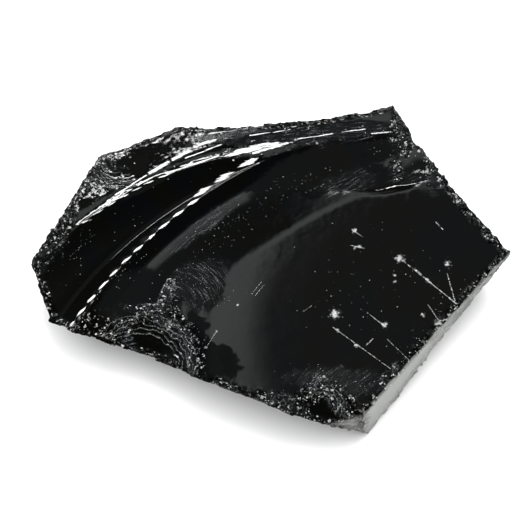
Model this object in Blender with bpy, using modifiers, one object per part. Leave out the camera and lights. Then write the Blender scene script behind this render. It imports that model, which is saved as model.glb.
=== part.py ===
"""Obsidian chunk: a hand specimen of black volcanic glass, broken on every side.

The stone starts as a block, and flakes are struck from it. Most flake scars are
turned cutters: a profile spun round the line through the point where the flake
was struck, so that its hollows and ripples are arcs about that point. Small
scars are oval scoops, and the crumbled edges are rows of small chips. Lengths
below are millimetres, the model is in metres, +Z is up, and the stone rests on
the flat facet at z = 0.
"""

import math
import random

import bpy
from mathutils import Matrix, Vector

MM = 0.001
NAME = "obsidian_chunk"

BLOCK_SIZE = (114.0, 90.0, 26.0)
CUTTER_TOP = 45.0

# The middle of the finished stone on the working grid the scars are measured on.
MIDDLE = Vector((1.01, -0.62, 0.0))
HEART = Vector((0.0, 0.0, 8.0))

# The tops of all the ridges lie close to one plane, which leans a little forward.
CREST_HEIGHT = 16.0
CREST_SLOPE = 0.08
CREST_UP = Vector((0.0, -CREST_SLOPE, 1.0)).normalized()

CHIP_SEED = 27
CHIP_COUNT = 66
CHIP_RADIUS = (1.6, 3.4)
CHIP_BITE = (0.4, 0.9)
CHIP_DROP = (0.0, 4.0)
RIM_STEP = 0.25


def crest(x, y, lift=0.0):
    """A point on the crest plane, or `lift` millimetres above it."""
    return Vector((x, y, CREST_HEIGHT + CREST_SLOPE * y + lift))


STRIKE_FAR_RIGHT = crest(48.0, -66.0)
STRIKE_MIDDLE = crest(12.0, -52.0)
LEANING_UP = Vector((-0.045, -CREST_SLOPE, 1.0)).normalized()

# Turned scars on top: name, foot of the axis, axis, steps round, profile (radius, height).
TURNED_SCARS = [
    ("big_facet", crest(34.0, -15.2), CREST_UP, 48,
     [(0, 1.2), (10, 1.15), (20, 0.95), (28, 0.75), (35, 0.45), (40, 0.2), (45, -0.05),
      (49, -0.1), (53, 1.0), (60, 4), (110, 22)]),
    ("right_trough", STRIKE_FAR_RIGHT, CREST_UP, 100,
     [(74, 10), (81, 3), (84, 1.2), (86, 0), (88.5, -1.2), (92, -2.0), (95.5, -2.2), (99, -1.75),
      (101.5, -1.1), (103.2, -0.2), (105, 1.2), (112, 10)]),
    ("ridge_step", STRIKE_FAR_RIGHT, CREST_UP, 97,
     [(95, 10), (101, 2), (103.1, -0.1), (104.6, -1.3), (106.2, -1.8), (108.5, -1.6),
      (111, -0.2), (118, 6)]),
    ("left_trough", STRIKE_MIDDLE + Vector((0.0, 0.0, 1.2)), LEANING_UP, 80,
     [(60, 5), (65, 1.4), (69, -0.4), (71, -0.9), (73.5, -1.15), (76, -0.9), (78.3, -0.35),
      (79.7, 0.15), (81, 1.0), (88, 7)]),
    ("narrow_trough", STRIKE_MIDDLE, CREST_UP, 83,
     [(72, 7), (77.5, 1.6), (79.6, 0.1), (81.2, -0.6), (83, -0.5), (85, 0.6), (92, 7)]),
]

# Broad facets: name, three corners, hollow.
FACETS = [
    ("back_left_facet", crest(-33.6, 15.0, -0.5), crest(-11.8, 28.7, -0.5), crest(-23.3, 33.1, -2.6), 0.0),
    ("back_strip", crest(-2.2, 26.2, -0.3), crest(28.2, 29.7, -1.3), crest(14.4, 36.3, -2.3), 0.0),
    ("front_corner_facet", crest(12.2, -40.0), crest(19.8, -38.9, 0.5), crest(21.6, -37.2, -12.0), 0.0),
    ("left_underside", Vector((-20, -24, 0)), Vector((-25, 24, 0)), Vector((-50, 0, 7.5)), 0.8),
    ("back_underside", Vector((-15, 21, 0)), Vector((27, 24, 0)), Vector((8, 36, 6.5)), 0.5),
    ("right_underside", Vector((43, -9, 0)), Vector((35, 12, 0)), Vector((52, 3, 6)), 0.4),
]

# Sides: name, the two ends of the rim, how far the side leans in under it (degrees), hollow.
SIDES = [
    ("front_left_side", crest(-49.2, -15.3), crest(6.4, -39.2), 35.0, 0.7),
    ("left_end", crest(-52.6, 1.5, -1.0), crest(-48.8, -16.4), 32.0, 0.3),
    ("front_right_side", Vector((21.8, -37.5, 2.0)), crest(52.4, -1.2), 2.0, 0.3),
    ("front_right_foot", crest(25.6, -35.9, -9.0), crest(52.4, -0.3, -3.0), 24.0, 0.5),
    ("right_back_side", crest(29.2, 38.6, -1.0), crest(54.1, 1.7), 14.0, 1.8),
    ("back_side", crest(29.4, 39.2, -2.5), crest(-22.9, 33.6, -2.5), 12.0, 2.2),
    ("back_left_side", crest(-20.7, 33.2, -2.0), crest(-38.8, 25.5, -2.0), 20.0, 0.2),
    ("left_side", crest(-37.1, 26.6, -2.0), crest(-53.0, -0.9, -1.0), 26.0, 0.6),
]

# Oval scoops: name, middle, half length, half width, depth, heading of the length (degrees).
SCOOPS = [
    ("flow_lump", crest(-37.5, 23.5, -1.4), 6.5, 5.5, 1.2, 30.0),
    ("back_right_scallop", crest(23.3, 24.0), 17.0, 9.0, 2.6, 0.0),
    ("frosted_fan", crest(-17.5, -6.0, -1.3), 5.5, 8.0, 1.0, 25.0),
    ("front_left_bowl", crest(-26.2, -23.8, -0.8), 10.0, 10.0, 3.0, 0.0),
    ("front_left_bite", crest(-36.2, -18.1, -0.8), 4.4, 4.4, 1.7, 0.0),
    ("front_scallop", crest(12.7, -39.2), 5.2, 5.2, 1.7, 0.0),
]

def in_collection(name, hidden):
    """A new collection, whose objects a render leaves out when `hidden`."""
    collection = bpy.data.collections.new(name)
    bpy.context.scene.collection.children.link(collection)
    collection.hide_render = hidden
    return collection


def clear_scene():
    for thing in list(bpy.data.objects):
        bpy.data.objects.remove(thing, do_unlink=True)


def place(thing, foot, up, along=Vector((1.0, 0.0, 0.0))):
    """Stand a thing on its foot, its own Z along `up` and its X as near `along` as it can be."""
    z = up.normalized()
    x = (along - along.dot(z) * z).normalized()
    y = z.cross(x)
    turn = Matrix((x, y, z)).transposed().to_4x4()
    thing.matrix_world = Matrix.Translation((foot - MIDDLE) * MM) @ turn


def as_cutter(thing, name, collection):
    for old in list(thing.users_collection):
        old.objects.unlink(thing)
    collection.objects.link(thing)
    thing.name = name
    thing.display_type = "WIRE"
    thing.hide_render = True
    return thing


def smooth_profile(points):
    """The profile with one point more between each two, on the curve through its neighbours."""
    finer = [points[0]]
    for i in range(1, len(points)):
        (r0, h0), (r1, h1) = points[i - 1], points[i]
        before = points[i - 2] if i > 1 else points[i - 1]
        after = points[i + 1] if i + 1 < len(points) else points[i]
        bend = 0.0
        if 1 < i < len(points) - 1:
            slope_in = (h1 - before[1]) / (r1 - before[0])
            slope_out = (after[1] - h0) / (after[0] - r0)
            bend = (slope_in - slope_out) * (r1 - r0) / 8.0
        finer.append(((r0 + r1) / 2.0, (h0 + h1) / 2.0 + bend))
        finer.append((r1, h1))
    return finer


def turned_cutter(name, foot, axis, steps, profile, collection):
    """A solid turned from the profile, filling everything above it up to CUTTER_TOP."""
    inner, outer = profile[0][0], profile[-1][0]
    outline = [(inner, CUTTER_TOP), (outer, CUTTER_TOP)] + profile[::-1]
    corners = [(r * MM, 0.0, h * MM) for r, h in outline]
    count = len(corners)
    edges = [(i, i + 1) for i in range(count - 1)]
    if inner > 0:
        edges.append((count - 1, 0))
    mesh = bpy.data.meshes.new(name)
    mesh.from_pydata(corners, edges, [])
    thing = bpy.data.objects.new(name, mesh)
    turn = thing.modifiers.new("turn", "SCREW")
    turn.axis = "Z"
    turn.steps = steps
    turn.render_steps = steps
    turn.use_merge_vertices = True
    turn.merge_threshold = 1e-5
    turn.use_smooth_shade = False
    place(thing, foot, axis)
    return as_cutter(thing, name, collection)


def curve_radius(half, depth):
    """The radius of the circle whose arc is `depth` deep and reaches `half` from its middle."""
    return (half**2 + depth**2) / (2.0 * depth)


def bowl_profile(radius_of_curve, reach, rings):
    """A shallow bowl's profile out to `reach`, its lowest point on the axis."""
    points = []
    for i in range(rings + 1):
        r = reach * i / rings
        points.append((r, radius_of_curve - math.sqrt(radius_of_curve**2 - r * r)))
    return points


def side_cutter(name, start, end, lean, hollow, collection):
    """A hollow scar along the rim from start to end, leaning in under the rim by `lean`."""
    along = (end - start).normalized()
    middle = (start + end) / 2.0
    out = along.cross(Vector((0.0, 0.0, 1.0))).normalized()
    if out.dot(Vector((middle.x, middle.y, 0.0))) < 0:
        out = -out
    tilt = math.radians(lean)
    up = out * math.cos(tilt) - Vector((0.0, 0.0, math.sin(tilt)))
    up = (up - up.dot(along) * along).normalized()
    profile = bowl_profile(curve_radius((end - start).length / 2.0, hollow), 60.0, 5)
    return turned_cutter(name, middle - up * hollow, up, 32, profile, collection)


def facet_cutter(name, a, b, c, hollow, collection):
    """A broad facet through three points, with the stone outside it cut away."""
    up = (b - a).cross(c - a).normalized()
    middle = (a + b + c) / 3.0
    if up.dot(middle - HEART) < 0:
        up = -up
    if not hollow:
        return turned_cutter(name, middle, up, 24, [(0, 0), (90, 0)], collection)
    half = ((a - middle).length + (b - middle).length + (c - middle).length) / 3.0
    profile = bowl_profile(curve_radius(half, hollow), 60.0, 5)
    return turned_cutter(name, middle - up * hollow, up, 32, profile, collection)


def scoop_cutter(name, middle, half_length, half_width, depth, heading, collection):
    """An oval hollow of the given depth below the crest plane."""
    curve = curve_radius(half_length, depth)
    bpy.ops.mesh.primitive_uv_sphere_add(segments=64, ring_count=48, radius=curve * MM)
    thing = bpy.context.object
    angle = math.radians(heading)
    place(thing, middle + CREST_UP * (curve - depth), CREST_UP, Vector((math.cos(angle), math.sin(angle), 0)))
    thing.matrix_world = thing.matrix_world @ Matrix.Diagonal((1.0, half_width / half_length, 1.0, 1.0))
    return as_cutter(thing, name, collection)


def side_point(body, angle, height):
    """Where the stone's side is at this angle and height, and which way it faces."""
    way = Vector((math.cos(angle), math.sin(angle), 0.0))
    start = (way * 90.0 + Vector((0.0, 0.0, height))) * MM
    found, point, facing, _ = body.ray_cast(start, -way)
    if not found or facing.dot(way) < 0.4:
        return None
    return point / MM + MIDDLE, facing


def rim_height(body, angle):
    """The height of the stone's rim at this angle, found from above in small steps."""
    height = BLOCK_SIZE[2]
    while side_point(body, angle, height) is None:
        height -= RIM_STEP
    return height


def chip_cutters(body, collection):
    """Small round chips crumbled from the rim, different in size, height and depth."""
    bpy.context.view_layer.update()
    solid = body.evaluated_get(bpy.context.evaluated_depsgraph_get())
    rng = random.Random(CHIP_SEED)
    for i in range(CHIP_COUNT):
        angle = (i + rng.uniform(-0.3, 0.3)) * 2.0 * math.pi / CHIP_COUNT
        height = rim_height(solid, angle) - rng.uniform(*CHIP_DROP)
        found = side_point(solid, angle, height)
        if found is None:
            continue
        point, facing = found
        radius = rng.uniform(*CHIP_RADIUS)
        middle = point + facing * (radius - rng.uniform(*CHIP_BITE))
        bpy.ops.mesh.primitive_ico_sphere_add(subdivisions=2, radius=radius * MM)
        thing = bpy.context.object
        place(thing, middle, Vector((rng.uniform(-1, 1), rng.uniform(-1, 1), rng.uniform(-1, 1))))
        as_cutter(thing, f"chip_{i:02d}", collection)


def cut(body, name, cutter):
    hole = body.modifiers.new(name, "BOOLEAN")
    hole.operation = "DIFFERENCE"
    hole.solver = "EXACT"
    hole.object = cutter


def black_glass():
    """The stone's own material: near-black glass with a sharp shine."""
    material = bpy.data.materials.new("obsidian")
    material.use_nodes = True
    shader = material.node_tree.nodes["Principled BSDF"]
    shader.inputs["Base Color"].default_value = (0.008, 0.009, 0.009, 1.0)
    shader.inputs["Roughness"].default_value = 0.08
    shader.inputs["IOR"].default_value = 1.5
    return material


def block(collection):
    bpy.ops.mesh.primitive_cube_add(size=1.0)
    thing = bpy.context.object
    thing.scale = Vector(BLOCK_SIZE) * MM
    thing.location = (0.0, 0.0, BLOCK_SIZE[2] / 2.0 * MM)
    bpy.ops.object.transform_apply(location=True, rotation=False, scale=True)
    for old in list(thing.users_collection):
        old.objects.unlink(thing)
    collection.objects.link(thing)
    thing.name = NAME
    thing.data.materials.append(black_glass())
    return thing


def build():
    clear_scene()
    stone = in_collection(NAME, hidden=False)
    tools = in_collection("cutters", hidden=True)
    chips = in_collection("chips", hidden=True)
    body = block(stone)
    for name, start, end, lean, hollow in SIDES:
        cut(body, name, side_cutter(name, start, end, lean, hollow, tools))
    for name, foot, axis, steps, profile in TURNED_SCARS:
        cut(body, name, turned_cutter(name, foot, axis, steps, smooth_profile(profile), tools))
    for facet in FACETS:
        cut(body, facet[0], facet_cutter(*facet, tools))
    for scoop in SCOOPS:
        cut(body, scoop[0], scoop_cutter(*scoop, tools))
    chip_cutters(body, chips)
    crumble = body.modifiers.new("crumbled_rim", "BOOLEAN")
    crumble.operation = "DIFFERENCE"
    crumble.solver = "EXACT"
    crumble.operand_type = "COLLECTION"
    crumble.collection = chips


build()
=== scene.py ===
"""Dressing for the obsidian chunk: its broken surface in full detail, its glass, the light and the camera.

Lengths in the tables are millimetres on the chunk's working grid; to_frame() turns them
into metres in the part's own frame.
"""

import math

import bpy
import numpy as np
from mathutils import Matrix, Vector

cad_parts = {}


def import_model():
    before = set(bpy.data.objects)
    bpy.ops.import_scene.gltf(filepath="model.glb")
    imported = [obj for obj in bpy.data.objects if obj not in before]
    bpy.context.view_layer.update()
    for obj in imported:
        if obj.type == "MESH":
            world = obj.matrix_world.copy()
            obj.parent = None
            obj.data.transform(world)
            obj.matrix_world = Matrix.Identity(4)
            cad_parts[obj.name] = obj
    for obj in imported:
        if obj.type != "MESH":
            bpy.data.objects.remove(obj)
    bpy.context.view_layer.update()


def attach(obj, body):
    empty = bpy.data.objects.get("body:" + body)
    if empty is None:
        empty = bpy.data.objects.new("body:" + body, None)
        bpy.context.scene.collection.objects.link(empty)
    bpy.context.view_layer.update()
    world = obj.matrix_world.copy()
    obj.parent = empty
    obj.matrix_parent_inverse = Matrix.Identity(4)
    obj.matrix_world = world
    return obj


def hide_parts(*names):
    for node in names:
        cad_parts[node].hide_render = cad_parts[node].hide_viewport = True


NODE = "obsidian_chunk"
MM = 0.001

# Where the part's frame stands on the working grid, and a point inside the stone.
MIDDLE = np.array([1.01, -0.62, 0.0])
HEART = np.array([0.0, 0.0, 8.0])

# The plane that the ridges' tops lie in: its height in the middle, and its rise to the back.
CREST_HEIGHT = 16.0
CREST_SLOPE = 0.08


def unit(v):
    v = np.asarray(v, float)
    return v / np.linalg.norm(v)


def crest(x, y, lift=0.0):
    """A point on the plane that the tops of the ridges lie in, or `lift` above it."""
    return np.array([x, y, CREST_HEIGHT + CREST_SLOPE * y + lift])


def at(x, y, z):
    return np.array([x, y, z], float)


CREST_UP = unit([0.0, -CREST_SLOPE, 1.0])
FACET_UP = unit([0.017, 0.014 - CREST_SLOPE, 1.0])
LEANING_UP = unit([-0.025, -CREST_SLOPE, 1.0])

# Where the two hardest blows fell, beyond the front edge.
FAR_RIGHT_BLOW = (48.0, -66.0)
MIDDLE_BLOW = (12.0, -52.0)

# Turned scars: name, foot of the axis, axis, profile (radius, height).
TURNED_SCARS = [
    ("big_facet", crest(33.9, -16.3), FACET_UP,
     [(0, 0.45), (15, 0.42), (30, 0.36), (34, 0.32), (37, 0.24), (41, 0.03), (45, -0.25),
      (49, -0.57), (53, 0.5), (60, 4), (110, 22)]),
    ("right_trough", crest(*FAR_RIGHT_BLOW), CREST_UP,
     [(74, 4), (80, 1.35), (84, 0.42), (86, 0), (90, -0.85), (94, -1.7), (95.2, -1.94),
      (96.2, -2.12), (97.2, -2.25), (98.2, -2.34), (98.8, -2.36), (99.4, -2.24), (100.0, -1.86),
      (101.0, -1.1), (102.0, -0.15), (103.8, 1.2), (112, 10)]),
    ("narrow_trough", crest(*MIDDLE_BLOW), CREST_UP,
     [(72, 7), (77.5, 1.6), (79.6, 0.1), (81.2, -0.6), (83, -0.5), (85, 0.6), (92, 7)]),
]

# The trough between the middle and left ridges: its flank under the middle ridge, and the side
# that climbs to the left one. Only what lies above both is gone.
MIDDLE_FLANK = (crest(*FAR_RIGHT_BLOW), CREST_UP,
                [(60, 20), (95, 5), (99.8, 1.3), (101.9, -0.12), (103.1, -0.84), (106, -2.35),
                 (110, -4.4), (120, -10), (130, -16)])
LEFT_CLIMB = (crest(*MIDDLE_BLOW, 0.7), LEANING_UP,
              [(20, -16), (60, -5), (68, -2.5), (71.5, -1.7), (74, -1.25), (76, -0.85),
               (78.3, -0.3), (79.7, 0.15), (81, 1.0), (88, 7)])

# Broad facets: name, three corners, hollow.
FACETS = [
    ("back_left_facet", crest(-33.6, 15.0, -0.5), crest(-11.8, 28.7, -0.5), crest(-23.3, 33.1, -2.6), 0.0),
    ("back_strip", crest(-2.2, 26.2, -0.3), crest(28.2, 29.7, -1.3), crest(14.4, 36.3, -2.3), 0.0),
    ("front_corner_facet", crest(12.2, -40.0), crest(19.8, -38.9, 0.5), crest(21.6, -37.2, -12.0), 0.0),
    ("left_underside", at(-20, -24, 0), at(-25, 24, 0), at(-50, 0, 7.5), 0.8),
    ("back_underside", at(-15, 21, 0), at(27, 24, 0), at(8, 36, 6.5), 0.5),
    ("right_underside", at(43, -9, 0), at(35, 12, 0), at(52, 3, 6), 0.4),
]

# Sides: name, the two ends of the rim, how far the side leans in under it (degrees), hollow.
SIDES = [
    ("front_left_side", crest(-49.2, -15.8), crest(6.4, -38.2), 35.0, 0.2),
    ("left_end", crest(-52.6, 1.5, -1.0), crest(-48.8, -16.6), 32.0, 0.3),
    ("front_right_side", at(21.8, -37.5, 2.0), crest(52.4, -1.2), 2.0, 0.3),
    ("front_right_foot", crest(25.6, -35.9, -9.0), crest(52.4, -0.3, -3.0), 24.0, 0.5),
    ("right_back_side", crest(29.8, 39.0, -1.0), crest(54.1, 1.7), 14.0, 1.7),
    ("back_side", crest(30.2, 40.0, -2.5), crest(-22.9, 33.4, -2.5), 12.0, 2.6),
    ("back_left_side", crest(-20.7, 33.2, -2.0), crest(-39.4, 26.3, -2.0), 20.0, 0.2),
    ("left_side", crest(-38.0, 27.2, -2.0), crest(-52.7, -2.4, -1.0), 26.0, 0.8),
]

# Oval scoops: name, middle, half length, half width, depth, heading of the length (degrees).
SCOOPS = [
    ("flow_lump", crest(-37.5, 23.5, -1.4), 6.5, 5.5, 1.2, 30.0),
    ("back_right_scallop", crest(23.3, 24.0), 17.0, 9.0, 2.6, 0.0),
    ("back_dent", crest(-11.5, 37.0, -2.2), 9.0, 3.6, 2.0, 4.0),
    ("front_left_bowl", crest(-26.2, -23.8, -0.8), 10.0, 10.0, 3.0, 0.0),
    ("front_left_bite", crest(-36.2, -18.1, -0.8), 4.4, 4.4, 1.7, 0.0),
    ("front_scallop", crest(12.7, -39.2), 5.2, 5.2, 1.7, 0.0),
]

# How much each scar's edges crumble, in millimetres; the ones not named here use OTHER_CRUMBLE.
CRUMBLE = {"big_facet": 0.02, "right_trough": 0.04, "left_trough": 0.06,
           "narrow_trough": 0.1, "back_left_facet": 0.12, "back_strip": 0.2,
           "back_right_scallop": 0.05, "flow_lump": 0.25, "back_left_side": 0.8,
           "base": 0.4}
OTHER_CRUMBLE = 1.25
CRUMBLE_REACH = 2.1
BIG_CRUMB = 2.6
SMALL_CRUMB = 0.9

# How wide the rounding of an arris is, and where the big facet melts into the trough beside it:
# the middle, half length, half width and heading, and the width there.
ARRIS_WIDTH = 0.18
MELTED = ((-15.0, -11.0), 9.0, 7.0, 60.0)
MELTED_WIDTH = 1.3

# The middle ridge's waves: the radius they lie at, their length and their height.
RIDGE_RADIUS = 102.0
RIDGE_WAVE = 3.3
RIDGE_RISE = 0.075

# Where each scar's blow fell: its fine lines run round that place. Inside the frosted fan, whose
# middle, half length, half width and heading come next, they run round a place of its own.
STRUCK_AT = {"right_trough": FAR_RIGHT_BLOW, "big_facet": FAR_RIGHT_BLOW,
             "left_trough": MIDDLE_BLOW, "narrow_trough": MIDDLE_BLOW,
             "back_left_facet": MIDDLE_BLOW, "back_strip": (34.0, -110.0),
             "flow_lump": (-31.8, 26.1), "back_right_scallop": (48.0, -20.0),
             "front_left_bowl": (-27.5, -26.0), "front_scallop": (11.5, -37.5)}
STRUCK_ELSEWHERE = (0.0, 0.0)
FAN = ((-17.0, -8.0), 8.0, 7.0, 30.0)
FAN_STRUCK = (-24.0, -15.0)

# Ways that the glass is turned: to the strongest light, and to the dark on the right or the left
# of the studio's pale reflector, the left one where it leans left by more than LEAN_BETWEEN.
TO_THE_LIGHT = (-0.20, 0.163, 1.0)
TO_THE_RIGHT_DARK = (0.12, -0.15, 1.0)
TO_THE_LEFT_DARK = (-0.17, 0.02, 1.0)
LEANING_LEFT = (-1.0, 0.2, 0.0)
LEAN_BETWEEN = 0.04

# Sides painted pale and evenly dull: a painted reflection of the bright floor, which these steep faces
# catch at a grazing angle.
PAINTED_REFLECTION_SIDES = {"front_right_side": 0.5, "front_corner_facet": 0.12, "front_right_foot": 0.1}

# Rings round a blow: name, middle, inner and outer radius, spacing, height, heading and half
# spread of the sector they fill (degrees), and how white their crests are: partly frost, partly a painted
# highlight.
RINGS = [
    ("bowl_rings", (-27.5, -26.0), 7.6, 13.4, 0.95, 0.16, 55.0, 80.0, 0.7),
    ("fan_rings", (-24.0, -15.0), 12.5, 17.0, 1.9, 0.06, 40.0, 34.0, 0.25),
    ("lump_rings", (-31.8, 26.6), 3.0, 10.4, 1.35, 0.14, 220.0, 75.0, 0.45),
    ("scallop_rings", (13.3, -35.5), 1.2, 4.6, 0.9, 0.20, 60.0, 110.0, 0.9),
    ("facet_rings", (27.0, -48.0), 19.0, 24.5, 2.6, 0.02, 110.0, 32.0, 0.0),
]

# Arcs of glass turned to the strongest light: name, middle, radius, half width, the x where they
# start and end, the length of their dashes and how broken they are.
GLEAM_ARCS = [
    ("middle_ridge", (76.0, -96.0), 143.0, 0.30, -43.6, -26.0, 3.9, 0.5),
    ("middle_ridge_middle", (76.0, -96.0), 143.0, 0.36, -26.5, -14.0, 4.3, 0.4),
    ("middle_ridge_end", FAR_RIGHT_BLOW, 103.25, 0.46, -17.0, 0.0, 6.1, 1.0),
    ("left_ridge", MIDDLE_BLOW, 79.85, 0.15, -41.5, -6.0, 3.4, 1.6),
    ("left_ridge_edge", MIDDLE_BLOW, 80.6, 0.11, -30.0, -8.0, 5.0, 1.8),
]
DASH_SLANT = 0.5

# Straight streaks of the same kind: the two ends and the half width.
GLEAM_STREAKS = [
    ((-22.0, 20.5), (-10.5, 24.9), 0.26),
    ((-8.5, 25.0), (2.8, 28.2), 0.50),
    ((-6.4, 26.2), (0.8, 28.4), 0.42),
    ((-2.6, 25.8), (4.8, 28.3), 0.30),
    ((-33.4, 15.4), (-26.6, 20.3), 0.18),
    ((-25.9, 20.8), (-21.8, 23.6), 0.34),
    ((-20.6, 24.3), (-16.9, 26.5), 0.26),
    ((-15.7, 27.6), (-11.4, 29.2), 0.34),
    ((-17.8, 24.6), (-9.8, 28.0), 0.12),
    ((-12.6, 31.0), (-4.4, 32.6), 0.15),
    ((7.4, 29.6), (15.2, 31.2), 0.12),
    ((16.8, 31.6), (22.6, 32.6), 0.12),
    ((24.0, 31.4), (28.6, 32.0), 0.10),
    ((-3.4, 30.6), (5.6, 32.3), 0.12),
]

# Where the glass is turned to the dark: name, middle, half length, half width, heading and
# raggedness.
SHADES = [
    ("facet_corner", (-11.4, -25.4), 6.2, 4.4, -25.0, 1.0),
    ("facet_corner_back", (-15.6, -19.6), 4.6, 2.6, 70.0, 1.0),
    ("fan_inside", (-14.6, -6.0), 6.6, 5.4, -50.0, 0.6),
    ("trough_end_left", (-31.8, -10.2), 10.0, 5.0, 61.0, 0.3),
    ("trough_end_right", (9.6, 23.2), 15.0, 4.6, 25.0, 0.3),
    ("strip_back", (12.0, 31.4), 19.0, 2.6, 8.0, 0.5),
    ("back_right_end", (27.0, 27.6), 5.0, 2.4, 10.0, 0.5),
    ("lump_right", (-30.6, 22.8), 4.4, 3.2, 30.0, 1.0),
    ("left_ridge_side", (-25.0, 18.4), 9.5, 1.1, 31.0, 0.3),
    ("scallop_end", (32.0, 19.6), 5.5, 1.6, 5.0, 0.0),
    ("scallop_left", (12.0, 19.4), 5.0, 3.6, 60.0, 0.0),
    ("scallop_inside", (22.5, 20.0), 10.0, 3.8, 8.0, 0.0),
]

# Rough patches: name, middle, half length, half width, heading, how crushed, how frosted.
PATCHES = [
    ("fan_frost", (-14.5, -6.0), 6.0, 5.5, 40.0, 0.0, 0.5),
    ("fan_wedge", (-21.6, -8.6), 4.2, 1.3, 72.0, 0.9, 1.0),
    ("fan_foot", (-26.0, -12.4), 5.0, 1.5, -10.0, 0.5, 0.6),
    ("bowl_rim_back", (-21.5, -16.0), 6.5, 1.4, -38.0, 0.3, 0.6),
    ("bowl_rim_side", (-16.6, -23.5), 5.5, 1.2, -80.0, 0.35, 0.8),
    ("bowl_ridge", (-30.3, -18.6), 6.5, 1.3, -60.0, 0.9, 0.5),
    ("front_edge_left", (-6.0, -34.0), 8.0, 1.2, -23.0, 0.8, 0.3),
    ("front_edge_middle", (4.5, -36.0), 7.0, 1.6, -20.0, 0.9, 0.3),
    ("front_smear", (12.0, -30.3), 2.2, 1.6, 0.0, 0.3, 0.8),
    ("front_dust", (16.0, -30.5), 9.0, 3.2, -5.0, 0.0, 0.35),
    ("scallop_rim", (15.5, -35.2), 3.0, 1.6, -50.0, 0.7, 0.8),
    ("front_corner", (27.0, -28.5), 3.0, 1.1, 55.0, 0.9, 0.6),
    ("left_edge", (-47.0, 2.5), 10.0, 1.6, 62.0, 0.8, 0.2),
    ("left_end_edge", (-50.6, -8.0), 9.0, 1.2, -80.0, 0.8, 0.2),
    ("ridge_brushing", (-13.6, 8.8), 11.0, 1.7, 40.0, 0.0, 0.35),
    ("lump_frost", (-36.8, 20.8), 5.0, 3.6, 40.0, 0.12, 0.12),
    ("back_streaks", (-9.0, 31.0), 7.0, 1.2, 12.0, 0.25, 0.9),
    ("strip_streaks", (14.0, 31.4), 18.0, 2.4, 8.0, 0.2, 0.6),
    ("back_right_crumbs", (30.6, 31.0), 5.5, 2.6, 100.0, 0.55, 0.3),
    ("scallop_streaks", (19.0, 19.0), 6.5, 3.0, 25.0, 0.0, 0.5),
    ("scallop_crumbs", (29.5, 22.0), 2.0, 3.6, 0.0, 0.4, 0.3),
    ("right_shoulder", (35.4, 19.0), 5.0, 2.6, -30.0, 0.2, 0.35),
    ("right_edge_back", (43.0, 15.0), 15.0, 1.4, -56.0, 0.9, 0.2),
    ("right_edge_front", (43.8, -11.8), 12.0, 0.8, 49.0, 0.7, 0.2),
]

# Where the white specks, painted glints of tiny bumps and partly crushed glass, lie thickest: middle, half
# length, half width, heading, how many.
SPECKS = [
    ((-6.0, 9.0), 20.0, 6.0, 38.0, 1.0),
    ((4.0, 17.0), 14.0, 6.0, 25.0, 0.8),
    ((-30.0, -3.0), 12.0, 3.0, 45.0, 0.7),
    ((-44.0, 2.0), 12.0, 6.0, 60.0, 1.0),
    ((-28.0, 12.0), 12.0, 5.0, 35.0, 0.35),
    ((15.0, -31.0), 14.0, 5.0, -8.0, 1.0),
    ((38.0, -14.0), 12.0, 4.0, 48.0, 0.9),
    ((30.0, 25.0), 10.0, 6.0, -50.0, 1.0),
    ((-16.0, -8.0), 12.0, 8.0, 0.0, 0.8),
    ((25.0, -8.0), 24.0, 20.0, 0.0, 0.22),
]

# Scratches on the big facet: the two ends, and the width.
SCRATCHES = [
    ((29.6, -0.5), (42.2, -11.8), 0.10),
    ((33.0, -3.3), (34.4, -4.6), 0.26),
    ((35.4, -5.6), (36.6, -6.8), 0.22),
    ((40.6, -10.4), (42.2, -11.8), 0.19),
    ((40.2, -4.4), (41.8, -11.1), 0.11),
    ((14.9, -17.7), (27.3, -27.5), 0.09),
    ((26.7, -20.4), (31.3, -25.3), 0.06),
    ((22.2, -21.9), (23.6, -20.4), 0.13),
    ((22.4, -14.0), (26.0, -17.2), 0.09),
    ((35.8, -12.0), (38.0, -15.7), 0.09),
    ((37.9, 8.4), (39.6, 6.4), 0.09),
    ((19.3, 6.2), (21.6, 4.6), 0.12),
    ((18.9, 2.4), (21.9, 1.7), 0.10),
    ((-2.9, -9.6), (-0.7, -6.6), 0.06),
    ((-2.2, -10.1), (0.0, -7.1), 0.05),
    ((8.4, -14.0), (10.4, -12.3), 0.04),
    ((-12.9, -22.4), (-10.4, -18.2), 0.06),
]

# Bruises where something struck the big facet: the middle and the radius.
BRUISES = [
    ((29.8, -0.6), 0.95),
    ((40.4, -2.1), 0.70),
    ((15.3, -14.4), 1.00),
    ((26.1, -17.0), 0.75),
    ((38.0, -16.4), 0.85),
    ((35.6, -6.0), 0.45),
    ((28.7, -4.9), 0.36),
    ((28.6, -6.4), 0.36),
    ((34.7, -14.4), 0.50),
    ((20.9, 2.2), 0.42),
    ((19.8, 1.6), 0.36),
    ((19.9, 6.0), 0.55),
    ((20.0, -22.0), 0.45),
    ((15.8, -18.4), 0.42),
    ((-6.0, -12.3), 0.26),
    ((-10.6, -18.6), 0.30),
]

# The glass in its two tints, and what lies over it: a pattern, its strength and its colour.
WARM_BLACK = (0.0006, 0.0006, 0.0003, 1.0)
COOL_BLACK = (0.0004, 0.0005, 0.0007, 1.0)
PAINTS = [
    ("frosted", 0.02, (0.17, 0.21, 0.25, 1.0)),
    ("lines", 0.5, (0.30, 0.32, 0.33, 1.0)),
    # Ring crests: partly frost, partly a painted highlight.
    ("ring_frost_and_highlight", 0.8, (0.36, 0.37, 0.36, 1.0)),
    ("powder", 0.9, (0.46, 0.47, 0.45, 1.0)),
    # marks: real scratches and bruises, with white specks that are painted glints.
    ("marks_and_glints", 0.9, (0.44, 0.45, 0.45, 1.0)),
    # pale: a painted reflection of the bright floor on the steep front sides.
    ("pale", 1.0, (0.42, 0.43, 0.41, 1.0)),
]
# How dull the bare glass is, how much each pattern adds, and the glass's index of refraction.
BARE_DULLNESS = 0.05
DULLNESS = [("frosted", 0.1), ("pale", 0.8), ("powder", 0.3), ("marks_and_glints", 0.4)]
GLASS_BEND = 1.5

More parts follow.
